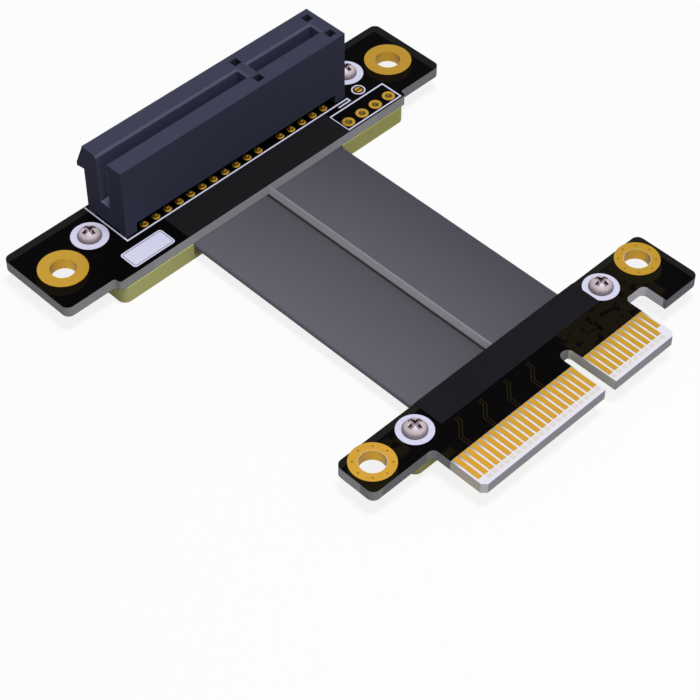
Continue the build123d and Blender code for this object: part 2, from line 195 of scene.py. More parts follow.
def joined(*shapes):
    """Several shapes as one list of points and one list of faces."""
    all_points, all_faces, start = [], [], 0
    for points, faces in shapes:
        all_points.append(points)
        all_faces += [(np.asarray(f) + start).tolist() for f in faces]
        start += len(points)
    return np.concatenate(all_points), all_faces


def piece(name, shape, material, sharp=35.0, marks=None):
    """Makes one piece from points in millimetres, gives it its finish and lets it ride on the part.

    marks names an attribute of the mesh and holds its value on each face.
    """
    points, faces = shape
    mesh = bpy.data.meshes.new(name)
    faces = [np.asarray(f).tolist() for f in faces]
    mesh.from_pydata((np.asarray(points) * MM).tolist(), [], faces)
    mesh.update()
    mesh.shade_smooth()
    mesh.set_sharp_from_angle(angle=math.radians(sharp))
    mesh.materials.append(material)
    if marks is not None:
        label, values = marks
        layer = mesh.attributes.new(label, "FLOAT", "FACE")
        layer.data.foreach_set("value", np.asarray(values, np.float32))
    obj = bpy.data.objects.new(name, mesh)
    bpy.context.scene.collection.objects.link(obj)
    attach(obj, "root")
    return obj


# Shader groups
def new_group(name, inputs, outputs):
    """An empty shader group with the named sockets."""
    group = bpy.data.node_groups.new(name, "ShaderNodeTree")
    for label, kind, value in inputs:
        socket = group.interface.new_socket(name=label, in_out="INPUT", socket_type=kind)
        if value is not None:
            socket.default_value = value
    for label, kind in outputs:
        group.interface.new_socket(name=label, in_out="OUTPUT", socket_type=kind)
    enter = group.nodes.new("NodeGroupInput")
    leave = group.nodes.new("NodeGroupOutput")
    return group, enter, leave


def feed(tree, sockets, values):
    """Gives each socket a link from another socket, a plain value, or nothing where it is None."""
    for socket, value in zip(sockets, values):
        if isinstance(value, bpy.types.NodeSocket):
            tree.links.new(value, socket)
        elif value is not None:
            socket.default_value = value


def math_node(tree, operation, a, b=None, clamp=False):
    """The result of one Math node. a and b are sockets or numbers."""
    node = tree.nodes.new("ShaderNodeMath")
    node.operation = operation
    node.use_clamp = clamp
    feed(tree, node.inputs, (a, b))
    return node.outputs[0]


def vector_node(tree, operation, a, b=None, output="Vector"):
    """The result of one Vector Math node. a and b are sockets or vectors."""
    node = tree.nodes.new("ShaderNodeVectorMath")
    node.operation = operation
    feed(tree, node.inputs, (a, b))
    return node.outputs[output]


def noise_node(tree, vector, detail):
    """A Noise node that reads a place, with its number of finer layers."""
    node = tree.nodes.new("ShaderNodeTexNoise")
    node.inputs["Detail"].default_value = detail
    tree.links.new(vector, node.inputs["Vector"])
    return node


def soft_mask(group, past, enter, leave):
    """A half less the distance past the edge over the softness, kept between 0 and 1."""
    share = math_node(group, "DIVIDE", past, enter.outputs["Softness"])
    mask = math_node(group, "SUBTRACT", 0.5, share, clamp=True)
    group.links.new(mask, leave.inputs["Mask"])


def fine_grain_group():
    """Moulded or coated skin: two sizes of noise added into a height, and a slow tint change."""
    group, enter, leave = new_group(
        "fine_grain",
        [
            ("Vector", "NodeSocketVector", None),
            ("Scale", "NodeSocketFloat", 9000.0),
            ("Tint Scale", "NodeSocketFloat", 160.0),
        ],
        [("Height", "NodeSocketFloat"), ("Tint", "NodeSocketFloat")],
    )
    place = enter.outputs["Vector"]
    fine, coarse, slow = [noise_node(group, place, detail) for detail in (3.0, 2.0, 4.0)]
    group.links.new(enter.outputs["Scale"], fine.inputs["Scale"])
    third = math_node(group, "MULTIPLY", enter.outputs["Scale"], 0.3)
    group.links.new(third, coarse.inputs["Scale"])
    group.links.new(enter.outputs["Tint Scale"], slow.inputs["Scale"])
    half = math_node(group, "MULTIPLY", coarse.outputs["Fac"], 0.6)
    height = math_node(group, "ADD", fine.outputs["Fac"], half)
    group.links.new(height, leave.inputs["Height"])
    group.links.new(slow.outputs["Fac"], leave.inputs["Tint"])
    return group


def in_box_group():
    """1 inside an upright box of the part's frame and 0 outside, with a soft edge."""
    group, enter, leave = new_group(
        "in_box",
        [
            ("Vector", "NodeSocketVector", None),
            ("Centre", "NodeSocketVector", (0, 0, 0)),
            ("Half Size", "NodeSocketVector", (1, 1, 1)),
            ("Softness", "NodeSocketFloat", 0.00003),
        ],
        [("Mask", "NodeSocketFloat")],
    )
    away = vector_node(group, "SUBTRACT", enter.outputs["Vector"], enter.outputs["Centre"])
    size = vector_node(group, "ABSOLUTE", away)
    over = vector_node(group, "SUBTRACT", size, enter.outputs["Half Size"])
    split = group.nodes.new("ShaderNodeSeparateXYZ")
    group.links.new(over, split.inputs[0])
    most = math_node(group, "MAXIMUM", split.outputs[0], split.outputs[1])
    most = math_node(group, "MAXIMUM", most, split.outputs[2])
    soft_mask(group, most, enter, leave)
    return group


def in_disc_group():
    """1 inside an upright cylinder of the part's frame and 0 outside, with a soft edge."""
    group, enter, leave = new_group(
        "in_disc",
        [
            ("Vector", "NodeSocketVector", None),
            ("Centre", "NodeSocketVector", (0, 0, 0)),
            ("Radius", "NodeSocketFloat", 0.003),
            ("Softness", "NodeSocketFloat", 0.00005),
        ],
        [("Mask", "NodeSocketFloat")],
    )
    away = vector_node(group, "SUBTRACT", enter.outputs["Vector"], enter.outputs["Centre"])
    flat = vector_node(group, "MULTIPLY", away, (1, 1, 0))
    size = vector_node(group, "LENGTH", flat, output="Value")
    over = math_node(group, "SUBTRACT", size, enter.outputs["Radius"])
    soft_mask(group, over, enter, leave)
    return group


GRAIN = fine_grain_group()
IN_BOX = in_box_group()
IN_DISC = in_disc_group()


def srgb(r, g, b):
    """A colour read in 0 to 255 steps, as the linear colour a shader takes."""
    c = np.array([r, g, b], float) / 255
    c = np.where(c <= 0.04045, c / 12.92, ((c + 0.055) / 1.055) ** 2.4)
    return (float(c[0]), float(c[1]), float(c[2]), 1.0)


class Finish:
    """One material with its own Principled shader, and short calls that wire its details."""

    def __init__(self, name, colour, rough, metal=0.0, specular=0.5):
        """A plain material, before its grain and its painted places."""
        self.material = bpy.data.materials.new(name)
        self.material.use_nodes = True
        self.tree = self.material.node_tree
        self.shader = self.tree.nodes["Principled BSDF"]
        self.shader.inputs["Base Color"].default_value = colour
        self.shader.inputs["Roughness"].default_value = rough
        self.shader.inputs["Metallic"].default_value = metal
        self.shader.inputs["Specular IOR Level"].default_value = specular
        self.colour = colour
        self.rough = rough
        self.place = self.tree.nodes.new("ShaderNodeTexCoord").outputs["Object"]

    def link(self, a, b):
        """Joins an output to an input."""
        self.tree.links.new(a, b)

    def group(self, group, **values):
        """Places a shader group that reads the Object place, with its own values."""
        node = self.tree.nodes.new("ShaderNodeGroup")
        node.node_tree = group
        self.link(self.place, node.inputs["Vector"])
        for key, value in values.items():
            node.inputs[key.replace("_", " ")].default_value = value
        return node

    def mix(self, factor, a, b):
        """a where the factor is 0, b where it is 1, and a blend between."""
        node = self.tree.nodes.new("ShaderNodeMix")
        node.data_type = "RGBA"
        sockets = [node.inputs[name] for name in ("Factor", "A", "B")]
        feed(self.tree, sockets, (factor, a, b))
        return node.outputs["Result"]

    def patchy(self, mask, scale=900.0):
        """The same mask with irregular holes in it, where a noise falls under a limit."""
        noise = noise_node(self.tree, self.place, 1.0)
        noise.inputs["Scale"].default_value = scale
        node = self.tree.nodes.new("ShaderNodeMapRange")
        node.inputs["From Min"].default_value = 0.38
        node.inputs["From Max"].default_value = 0.44
        self.link(noise.outputs["Fac"], node.inputs["Value"])
        return math_node(self.tree, "MULTIPLY", mask, node.outputs["Result"])

    def in_box(self, low, high, softness=0.03):
        """A mask of 1 between two corners of a box, in millimetres."""
        low, high = np.array(low) * MM, np.array(high) * MM
        node = self.group(IN_BOX)
        node.inputs["Centre"].default_value = tuple((low + high) / 2)
        node.inputs["Half Size"].default_value = tuple((high - low) / 2)
        node.inputs["Softness"].default_value = softness * MM
        return node.outputs["Mask"]

    def in_disc(self, x, y, radius, softness=0.05):
        """A mask of 1 within a radius of an upright line at (x, y)."""
        node = self.group(IN_DISC)
        node.inputs["Centre"].default_value = (x * MM, y * MM, 0)
        node.inputs["Radius"].default_value = radius * MM
        node.inputs["Softness"].default_value = softness * MM
        return node.outputs["Mask"]

    def shade_streak(self, x, y, radius):
        """0.85 of the fourth power of the share of a place that lies along the +X -Y diagonal: the
        weight of a painted shade streak in a bore.
        """
        size = radius * MM * math.sqrt(2)
        away = vector_node(self.tree, "SUBTRACT", self.place, (x * MM, y * MM, 0))
        along = vector_node(
            self.tree, "DOT_PRODUCT", away, (1 / size, -1 / size, 0), output="Value"
        )
        square = math_node(self.tree, "MULTIPLY", along, along)
        fourth = math_node(self.tree, "MULTIPLY", square, square)
        return math_node(self.tree, "MULTIPLY", fourth, 0.85)

    def marked(self, name):
        """The mesh's own attribute of that name, from 0 to 1."""
        node = self.tree.nodes.new("ShaderNodeAttribute")
        node.attribute_name = name
        return node.outputs["Fac"]

    def across(self, low, high, axis=0):
        """0 at one coordinate and 1 at another, and even between them."""
        split = self.tree.nodes.new("ShaderNodeSeparateXYZ")
        self.link(self.place, split.inputs[0])
        node = self.tree.nodes.new("ShaderNodeMapRange")
        node.inputs["From Min"].default_value = low * MM
        node.inputs["From Max"].default_value = high * MM
        self.link(split.outputs[axis], node.inputs["Value"])
        return node.outputs["Result"]

    def grain(self, scale, depth, tint=0.0, rough=0.0, tint_scale=160.0):
        """Fine bump, a slow change of shade and of gloss."""
        node = self.group(GRAIN, Scale=scale, Tint_Scale=tint_scale)
        if depth:
            bump = self.tree.nodes.new("ShaderNodeBump")
            bump.inputs["Strength"].default_value = 1.0
            bump.inputs["Distance"].default_value = depth
            self.link(node.outputs["Height"], bump.inputs["Height"])
            self.link(bump.outputs["Normal"], self.shader.inputs["Normal"])
        if tint:
            lighter = tuple(min(1.0, c * (1 + tint)) for c in self.colour[:3]) + (1.0,)
            darker = tuple(c * (1 - tint) for c in self.colour[:3]) + (1.0,)
            shade = self.mix(node.outputs["Tint"], darker, lighter)
            self.link(shade, self.shader.inputs["Base Color"])
        if rough:
            low = math_node(self.tree, "MULTIPLY", node.outputs["Tint"], 2 * rough)
            gloss = math_node(self.tree, "ADD", low, self.rough - rough)
            self.link(gloss, self.shader.inputs["Roughness"])

    def colour_out(self):
        """The socket that feeds the base colour now, or the plain colour where none does."""
        links = self.shader.inputs["Base Color"].links
        return links[0].from_socket if links else self.colour

    def paint(self, mask, colour):
        """Lays another colour over the base colour where the mask is 1."""
        self.link(self.mix(mask, self.colour_out(), colour), self.shader.inputs["Base Color"])


# Finishes
LAMINATE = srgb(168, 168, 172)
# Near white, for a painted highlight on a board's edge.
EDGE_HIGHLIGHT = srgb(250, 240, 226)
PLUG_POUR = srgb(28, 24, 14)


def on_face(x0, y0, x1, y1, height=BOARD_TOP):
    """The corners of a thin box round a flat face of a board."""
    return (x0, y0, height - 0.1), (x1, y1, height + 0.1)


def on_side(x0, y0, x1, y1):
    """The corners of a box at the height of a board's edge, clear of both faces."""
    return (x0, y0, SIDE_LOW), (x1, y1, SIDE_HIGH)


def pour_discs(mounts, radius):
    """A disc beside each mounting hole, shifted towards -X -Y."""
    return [(x - 1.04, y - 1.05, radius) for x, y in mounts]


def board_finish(
    name, margin_boxes, pour_boxes, discs, disc_colour, bare_boxes, edge_box, edge_lighting_boxes
):
    """Black solder mask above and below, a laminate edge with painted light and shade on some of
    its stretches, and bare laminate beside the fingers.
    """
    f = Finish(name, srgb(7, 6, 7), 0.5, specular=0.008)
    f.grain(6000.0, 0.0000012, tint=0.25, rough=0.05, tint_scale=300.0)
    for low, high, colour in pour_boxes:
        f.paint(f.patchy(f.in_box(low, high, 0.4)), colour)
    for x, y, radius in discs:
        f.paint(f.in_disc(x, y, radius), disc_colour)
    for low, high in margin_boxes:
        f.paint(f.in_box(low, high), srgb(31, 31, 29))
    fade = f.across(BARE_FRONT - 1.6, BARE_FRONT - 0.2, 1)
    bare = f.mix(fade, srgb(230, 229, 241), srgb(158, 163, 172))
    for low, high in bare_boxes:
        f.paint(f.in_box(low, high), bare)
    f.paint(f.in_box(*edge_box, 0.01), LAMINATE)
    # Painted light and shade: stretches of the board's edge made lighter or darker by how the light
    # falls on each side.
    for low, high, colour in edge_lighting_boxes:
        f.paint(f.in_box(low, high, 0.02), colour)
    return f.material


def simple(
    name, colour, rough, metal=0.0, specular=0.5, scale=9000.0, depth=0.0, tint=0.08, soft=0.04
):
    """A finish of one colour with its own grain."""
    f = Finish(name, colour, rough, metal, specular)
    f.grain(scale, depth, tint=tint, rough=soft)
    return f.material


def ribbon_finish(name, left_edge, light, dark):
    """A smooth grey jacket with painted shade that darkens evenly from left to right, and a painted
    highlight line at its left edge.
    """
    f = Finish(name, light, 0.5, specular=0.12)
    f.grain(5000.0, 0.000001, tint=0.03, rough=0.04)
    # Painted shade, darkening evenly from the left edge to the right one.
    f.paint(f.across(left_edge, left_edge + RIBBON_WIDTH), dark)
    # Painted highlight along the ribbon's left edge.
    highlight_line = (left_edge - 1, -60, 2.52), (left_edge + 0.12, 60, 2.7)
    f.paint(f.in_box(*highlight_line), srgb(128, 128, 136))
    return f.material


def housing_finish():
    """A fine matt moulding with painted light and shade: a little darker to the right and on the
    left end face, painted highlights on the lead-in slopes round the slot, and painted light inside
    the slot and on its floor.
    """
    f = Finish("housing_plastic", srgb(63, 66, 85), 0.6, specular=0.02)
    f.grain(7000.0, 0.000002, tint=0.06, rough=0.04)
    # Painted shade, a little darker towards the right.
    f.paint(f.across(-16, 20), srgb(60, 63, 81))
    past_left, slot_end = -25.0, 18.2
    front, back = SLOT_Y - 1.0, SLOT_Y + 1.0
    low, high = HOUSING_TOP - SLOT_LEAD_IN + 0.01, HOUSING_TOP - 0.02
    floor_skin = SLOT_FLOOR + 0.03
    # Painted shade, a touch darker, on the left end face.
    end_face = (past_left, SLOT_Y - 5, 4.5), (HOUSING_LEFT + 0.02, SLOT_Y + 5, high)
    f.paint(f.in_box(*end_face), srgb(62, 64, 84))
    # Painted light inside the slot, and paler still on its floor.
    inside = (past_left, front, floor_skin), (slot_end, back, low)
    f.paint(f.in_box(*inside), srgb(84, 88, 114))
    bottom = (past_left, front, SLOT_FLOOR - 0.05), (slot_end, back, floor_skin)
    f.paint(f.in_box(*bottom, 0.01), srgb(104, 108, 134))
    # Painted highlights on the lead-in slopes round the slot.
    for x0, x1 in ((past_left, 4.6), (5.4, 18.3)):
        slope = (x0, SLOT_Y - 1.3, low), (x1, SLOT_Y + 1.3, high)
        f.paint(f.in_box(*slope, 0.01), srgb(86, 88, 108))
    return f.material


def gold_finish(name, left, right, span, rough, barrels=()):
    """Flat gold plating with a painted reflection, paler at its left end than at its right one; its
    bores have painted light with two streaks of painted shade.
    """
    f = Finish(name, left, rough, 0.6)
    f.grain(9000.0, 0.0000006, tint=0.04, rough=0.04)
    # Painted reflection, paler at the left end than at the right one.
    f.paint(f.across(*span), right)
    for x, y in barrels:
        # Painted light in the bore, with two darker streaks of painted shade.
        bore = f.in_disc(x, y, HOLE_RADIUS + 0.02, 0.02)
        f.paint(bore, srgb(232, 182, 48))
        shade_streak = math_node(f.tree, "MULTIPLY", bore, f.shade_streak(x, y, HOLE_RADIUS))
        f.paint(shade_streak, srgb(72, 52, 12))
    return f.material


def hole_gold_finish():
    """Flat gold pads, and bores with a painted reflection by the barrel attribute: paler gold with
    two darker streaks of painted shade. The front row of tail pads has painted light over the
    housing's shade.
    """
    f = Finish("hole_gold", srgb(183, 142, 36), 0.42, 0.6)
    f.grain(9000.0, 0.0000006, tint=0.04, rough=0.04)
    # Painted light: the front row of tail pads, which lies in the shade of the housing wall, is
    # painted brighter.
    front_row = (-18, 25, BOARD_TOP - 0.1), (18, 26.7, BOARD_TOP + 0.2)
    f.paint(f.in_box(*front_row), srgb(246, 196, 58))
    # Painted reflection in the bores: bright gold where the barrel mark is high, dark gold in the
    # two streaks where it is low.
    mark = f.marked("barrel")
    bright = f.tree.nodes.new("ShaderNodeMapRange")
    bright.inputs["From Min"].default_value = 0.2
    f.link(mark, bright.inputs["Value"])
    wall = f.mix(bright.outputs["Result"], srgb(120, 88, 22), srgb(255, 236, 140))
    f.paint(math_node(f.tree, "GREATER_THAN", mark, 0.1), wall)
    return f.material


def screw_finish():
    """Pale plated steel, with painted shade down in the cross recess, along the rim of the head and
    on its side.
    """
    f = Finish("screw_steel", srgb(206, 189, 198), 0.5, 0.15, specular=0.2)
    f.grain(9000.0, 0.000001, tint=0.05, rough=0.04)
    # Painted shade by the recess marks: in the cross recess, along the rim of the dome and on the
    # head's side.
    f.paint(f.marked("recess"), srgb(60, 50, 55))
    return f.material


def plate_finish():
    """An olive moulding with painted shade that makes it a little darker at its right end."""
    f = Finish("plate_olive", srgb(205, 204, 133), 0.5, specular=0.1)
    f.grain(5000.0, 0.000002, tint=0.05, rough=0.04)
    # Painted shade, darker towards the right end.
    f.paint(f.across(-24, 22), srgb(184, 181, 108))
    return f.material


def spring_finish():
    """Gold on the contact and the tail, with bare nickel between them, painted down to near black
    as painted shade under the housing wall.
    """
    f = Finish("spring_gold", srgb(205, 165, 80), 0.35, 0.5)
    f.grain(9000.0, 0.0, tint=0.05, rough=0.04)
    # Bare nickel between contact and tail, painted near black as painted shade under the housing
    # wall.
    f.paint(f.in_box((-30, 20, BOARD_TOP + 0.45), (30, 40, WALL_FOOT)), srgb(22, 20, 17))
    return f.material


def divider_finish():
    """A pale strip with painted light and shade: pale sides, greyer along its top edge, and painted
    shade below the boards' undersides.
    """
    f = Finish("divider", srgb(240, 240, 247), 0.5, specular=0.1)
    f.grain(5000.0, 0.000001, tint=0.02, rough=0.03)
    # Painted shade along the divider's top edge.
    top_edge = (-1, -60, DIVIDER_TOP - 0.02), (1, 60, DIVIDER_TOP + 0.1)
    f.paint(f.in_box(*top_edge, 0.02), srgb(136, 136, 145))
    # Painted shade below the boards' undersides.
    f.paint(f.in_box((-1, -60, 0), (1, 60, BOARD_BOTTOM)), srgb(120, 120, 128))
    return f.material


socket_board_look = board_finish(
    "socket_board_mask",
    margin_boxes=[on_face(-34, 32.6, 34, 34), on_face(32.1, 20, 34, 34)],
    pour_boxes=[],
    discs=pour_discs(SOCKET_MOUNTS, 3.275),
    disc_colour=srgb(21, 17, 9),
    bare_boxes=[],
    edge_box=on_side(-40, 10, 40, 40),
    # Painted light and shade on stretches of the board's edge.
    edge_lighting_boxes=[
        (*on_side(-20, 19.9, 20, 20.1), srgb(178, 178, 184)),
        (*on_side(26.2, 20.0, 34, 21.2), srgb(146, 146, 151)),
    ],
)
plug_board_look = board_finish(
    "plug_board_mask",
    margin_boxes=[on_face(-28, -20.75, 28, -19), on_face(26.1, -31, 28, -19)],
    pour_boxes=[
        (*on_face(6.0, -28.7, 22.0, -20.9), PLUG_POUR),
        (*on_face(-17.2, -28.4, -15.6, -27.4), PLUG_POUR),
        (*on_face(-21.4, -24.4, -19.1, -21.2), PLUG_POUR),
    ],
    discs=pour_discs(PLUG_MOUNTS, 2.95),
    disc_colour=srgb(26, 23, 12),
    bare_boxes=[
        on_face(-17.3, -36, 17.3, BARE_FRONT),
        on_face(-17.3, -36, 17.3, BARE_FRONT, BOARD_BOTTOM),
    ],
    edge_box=on_side(-40, -40, 40, 10),
    # Painted light and shade on stretches of the board's edge.
    edge_lighting_boxes=[
        (*on_side(-27.2, -24, -26.8, -19), srgb(196, 194, 198)),
        (*on_side(-25.5, -26.3, -18.2, -26.0), srgb(140, 141, 148)),
        (*on_side(-17.25, -34.4, -16.9, BARE_FRONT), EDGE_HIGHLIGHT),
        (*on_side(-16.4, -34.4, 16.4, -34.1), srgb(188, 188, 196)),
        (*on_side(-17.3, -34.4, -16.5, -33.6), srgb(250, 250, 255)),
        (*on_side(4.6, -34.2, 6.4, -26.9), srgb(245, 240, 232)),
        (*on_side(19.0, -30.1, 27, -29.7), srgb(134, 135, 142)),
        (*on_side(17.2, -29.4, 21.0, -24.5), srgb(236, 236, 244)),
    ],
)
housing_look = housing_finish()
plate_look = plate_finish()
spring_look = spring_finish()
screw_look = screw_finish()
hole_look = hole_gold_finish()
# The gold finishes carry a painted reflection from left to right, and painted light and shade in
# the ring bores.
finger_look = gold_finish("finger_gold", srgb(203, 151, 33), srgb(190, 146, 32), (-17, 17), 0.4)
ring_look = gold_finish(
    "ring_gold", srgb(192, 148, 37), srgb(180, 138, 27), (-29, 29), 0.42, SOCKET_MOUNTS
)
plug_ring_look = gold_finish(
    "plug_ring_gold", srgb(197, 148, 40), srgb(185, 142, 27), (-24, 24), 0.42, PLUG_MOUNTS
)
solder_look = simple(
    "solder_tin", srgb(190, 190, 186), 0.3, metal=0.9, tint=0.05, depth=0.000002, scale=3000.0
)
socket_cover_look = simple("socket_cover", srgb(28, 28, 30), 0.55, specular=0.02, depth=0.000001)
plug_cover_look = simple("plug_cover", srgb(28, 27, 32), 0.55, specular=0.015, depth=0.000001)
ink_look = simple(
    "white_ink", srgb(216, 216, 241), 0.6, specular=0.05, depth=0.000001, tint=0.02
)
dark_ink_look = simple("dark_line", srgb(40, 40, 44), 0.6, specular=0.05, tint=0.02)
lead_look = simple("tinned_lead", srgb(196, 194, 186), 0.35, metal=0.9, tint=0.03)
trace_look = simple("covered_trace", srgb(37, 29, 14), 0.55, specular=0.02, tint=0.05)
tip_look = simple("tip_mark", srgb(224, 217, 206), 0.6, specular=0.05, tint=0.02)
via_look = simple("via_hole", srgb(120, 88, 26), 0.5, metal=0.3, tint=0.05)
rim_look = simple("hole_rim", srgb(214, 192, 150), 0.5, metal=0.2, tint=0.03)

looks = {
    "socket_board": socket_board_look,
    "plug_board": plug_board_look,
    "socket_housing": housing_look,
    "socket_mount_rings": ring_look,
    "socket_header_pads": ring_look,
    "plug_mount_rings": plug_ring_look,
    "socket_cover_strip": socket_cover_look,
    "plug_cover_strip": plug_cover_look,
    "socket_screws": screw_look,
    "plug_screws": screw_look,
    "socket_clamp_plate": plate_look,
    "plug_clamp_plate": plate_look,
    # Each ribbon's two colours are the lit and the shaded ends of its painted shade.
    "ribbon_left": ribbon_finish(
        "ribbon_left_jacket", RIBBON_LEFTS[0], srgb(96, 96, 106), srgb(78, 78, 85)
    ),
    "ribbon_right": ribbon_finish(
        "ribbon_right_jacket", RIBBON_LEFTS[1], srgb(91, 91, 101), srgb(70, 69, 79)
    ),
    "ribbon_divider": divider_finish(),
}
for side in ("front", "back"):
    for row in ("outer", "inner"):
        looks[f"socket_contacts_{side}_{row}"] = spring_look
for side in ("top", "bottom"):
    for size in ("long", "short"):
        looks[f"plug_fingers_{side}_{size}"] = finger_look
for side in ("left", "right"):
    for end in ("socket", "plug"):
        looks[f"ribbon_{side}_{end}_leads"] = lead_look
for name, material in looks.items():
    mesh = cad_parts[name].data
    mesh.materials.clear()
    mesh.materials.append(material)


# Print on the socket board
def socket_print():
    """The slot's outline, the box round the header holes and the rings round screws and bridge."""
    top = BOARD_TOP + INK
    slot_path = [
        (-20.0, SOCKET_BACK - 0.1), (-20.0, 25.05), (19.25, 25.05), (19.25, 24.5), (17.1, 24.5)
    ]
    header_path = [(14.9, 20.35), (24.85, 20.35), (24.85, 23.9), (14.9, 23.9)]
    outline = band(slot_path, LINE_WIDTH, BOARD_TOP, top)
    header_box = band(header_path, LINE_WIDTH, BOARD_TOP, top, closed=True)
    screw_rings = repeated(ring(SCREW_OPENING, 2.5, BOARD_TOP, top), SOCKET_SCREWS)
    bridge_ring = moved(ring(0.78, 0.98, BOARD_TOP, top, 40), *BRIDGE)
    return joined(outline, header_box, bridge_ring, screw_rings)


def label_box():
    """A bare white printed box with round corners."""
    return slab(rounded_box(*LABEL_BOX, 0.45), BOARD_TOP, BOARD_TOP + INK)


def label_line():
    """A thin line inside the printed box."""
    x0, y0, x1, y1 = LABEL_BOX
    path = rounded_box(x0 + 0.25, y0 + 0.25, x1 - 0.25, y1 - 0.25, 0.3)
    return band(path, 0.07, BOARD_TOP + INK, BOARD_TOP + 1.5 * INK, closed=True)


def half_moons():
    """Two half-round pads with a narrow gap, as a bridge that solder can close."""
    turn = np.linspace(0, math.pi, 16)
    back = np.column_stack([0.5 * np.cos(turn), 0.1 + 0.45 * np.sin(turn)])
    front = -back
    return joined(*[slab(o + BRIDGE, BOARD_TOP, BOARD_TOP + 0.03) for o in (back, front)])


# Pads and solder joints
def tail_places():
    """The (x, y) places of all contact tails, row after row from the front."""
    rows = [
        (OUTER_COLUMNS, SLOT_Y - OUTER_ROW),
        (INNER_COLUMNS, SLOT_Y - INNER_ROW),
        (INNER_COLUMNS, SLOT_Y + INNER_ROW),
        (OUTER_COLUMNS, SLOT_Y + OUTER_ROW),
    ]
    return [(x, y) for columns, y in rows for x in columns]


def plated_hole(bore, pad, segments):
    """A barrel through the board with a flat ring on each face, turned from one outline."""
    low, high, thick, wall = BOARD_BOTTOM, BOARD_TOP, 0.04, PLATING
    profile = [
        (bore, low - thick), (pad, low - thick), (pad, low), (bore + wall, low),
        (bore + wall, high), (pad, high), (pad, high + thick), (bore, high + thick),
    ]
    return lathe(profile, segments)


def barrel_marks(segments, count):
    """Marks for a number of plated holes: 0 on the flat faces and 0.2 to 1 on those of the bore.

    The bore's value falls from 1 as the square of the share of its direction that lies along the
    diagonal between +X and -Y; the finish paints it as a reflection, with two darker streaks of
    painted shade.
    """
    turn = (np.arange(segments) + 0.5) * 2 * math.pi / segments
    share = (np.cos(turn) - np.sin(turn)) / math.sqrt(2)
    one = np.zeros((segments, 8))
    one[:, 7] = 1 - 0.8 * share**2
    one = one.reshape(-1)
    return "barrel", np.tile(one, count)


def tail_pads():
    """A plated hole round every contact tail."""
    return repeated(plated_hole(0.3, 0.57, TAIL_SEGMENTS), tail_places())


def solder_cones():
    """Solder under the board: a hollow-sided cone round each tail.

    The radius falls from the pad to the tail as the square of the share of height left.
    """
    t = np.linspace(0, 1, 7)
    radius = 0.22 + 0.3 * (1 - t) ** 2
    height = BOARD_BOTTOM - 0.03 - 0.75 * t
    side = list(zip(radius, height))
    profile = [(0.0, height[0]), (0.0, height[-1])] + side[::-1]
    return repeated(lathe(profile, 20), tail_places())


def header_rings():
    """The four plated holes that an unfitted header would take."""
    return repeated(plated_hole(0.47, 0.9, HEADER_SEGMENTS), HEADER)


def peg_rings():
    """Plated rings round the two locating pegs."""
    return repeated(ring(1.3, 1.62, BOARD_TOP, BOARD_TOP + 0.03, 48), PEGS)


# Screws
def screw_head():
    """A domed head with a cross recess, made on a square grid that is drawn out into a circle.

    Within a half side of 1 mm the grid stays square. Outside, each point is scaled by a blend of 1
    and of its larger coordinate over its distance from the centre, so that the outer square becomes
    the rim. The height is a ball's cap from crown to rim. In the two crossed arms it is instead a
    floor that rises evenly from the middle to the ends of the arms, and the walls stand between
    neighbouring grid lines.
    """
    head, rim, crown = 1.6, 0.2, 1.25
    half_width, reach, square = 0.25, 0.92, 1.0
    depth, rise, shank, length = 0.8, 0.35, 0.8, 3.8
    ball = (head**2 + (crown - rim) ** 2) / (2 * (crown - rim))
    half = [0.0, 0.12, 0.25, 0.29, 0.42, 0.58, 0.75, 0.92, 0.96, 1.06, 1.18, 1.3, 1.42, 1.52, 1.6]
    lines = np.array([-v for v in half[:0:-1]] + half)
    u, v = np.meshgrid(lines, lines, indexing="ij")
    most = np.maximum(np.abs(u), np.abs(v))
    far = np.maximum(np.hypot(u, v), 1e-9)
    share = np.clip((most - square) / (head - square), 0, 1)
    factor = (1 - share) + share * most / far
    x, y = u * factor, v * factor
    r = np.minimum(np.hypot(x, y), head)
    cap = crown - ball + np.sqrt(ball**2 - r**2)
    arm_x = (np.abs(u) < reach + 0.01) & (np.abs(v) < half_width + 0.01)
    arm_y = (np.abs(v) < reach + 0.01) & (np.abs(u) < half_width + 0.01)
    floor_height = crown - depth + rise * most / reach
    z = np.where(arm_x | arm_y, floor_height, cap)
    top = np.stack([x, y, z], -1).reshape(-1, 3)
    n = len(lines)
    faces = grid_faces(n, n, False, False)[:, ::-1]
    i = np.arange(n - 1)
    border = np.concatenate([i * n, (n - 1) * n + i, (n - 1 - i) * n + n - 1, n - 1 - i])
    edge = top[border][:, :2] / head
    rings = [(head, 0.0), (shank, 0.0), (shank, -length)]
    below = [np.column_stack([edge * radius, np.full(len(edge), z)]) for radius, z in rings]
    points = np.concatenate([top, *below])
    count = len(border)
    loops = [border] + [len(top) + k * count + np.arange(count) for k in range(3)]
    sides = [
        np.stack([a, b, np.roll(b, -1), np.roll(a, -1)], 1) for a, b in zip(loops[:-1], loops[1:])
    ]
    # Painted shade marks: 0.5 on the recess floor, 1 on its walls, 0.3 and 0.6 towards the rim of
    # the dome, 0.8 on the head's side and 0 elsewhere.
    low_points = (arm_x | arm_y).reshape(-1)[faces].sum(1)
    marks = np.where(low_points == 4, 0.5, np.where(low_points > 0, 1.0, 0.0))
    inner = r.reshape(-1)[faces].min(1)
    marks = np.maximum(marks, 0.3 * (inner > 1.25))
    marks = np.maximum(marks, 0.6 * (inner > 1.4))
    marks = np.concatenate([marks, np.full(count, 0.8), np.zeros(2 * count + 1)])
    faces = [*np.concatenate([faces, *sides]), loops[-1][::-1]]
    return points, faces, marks


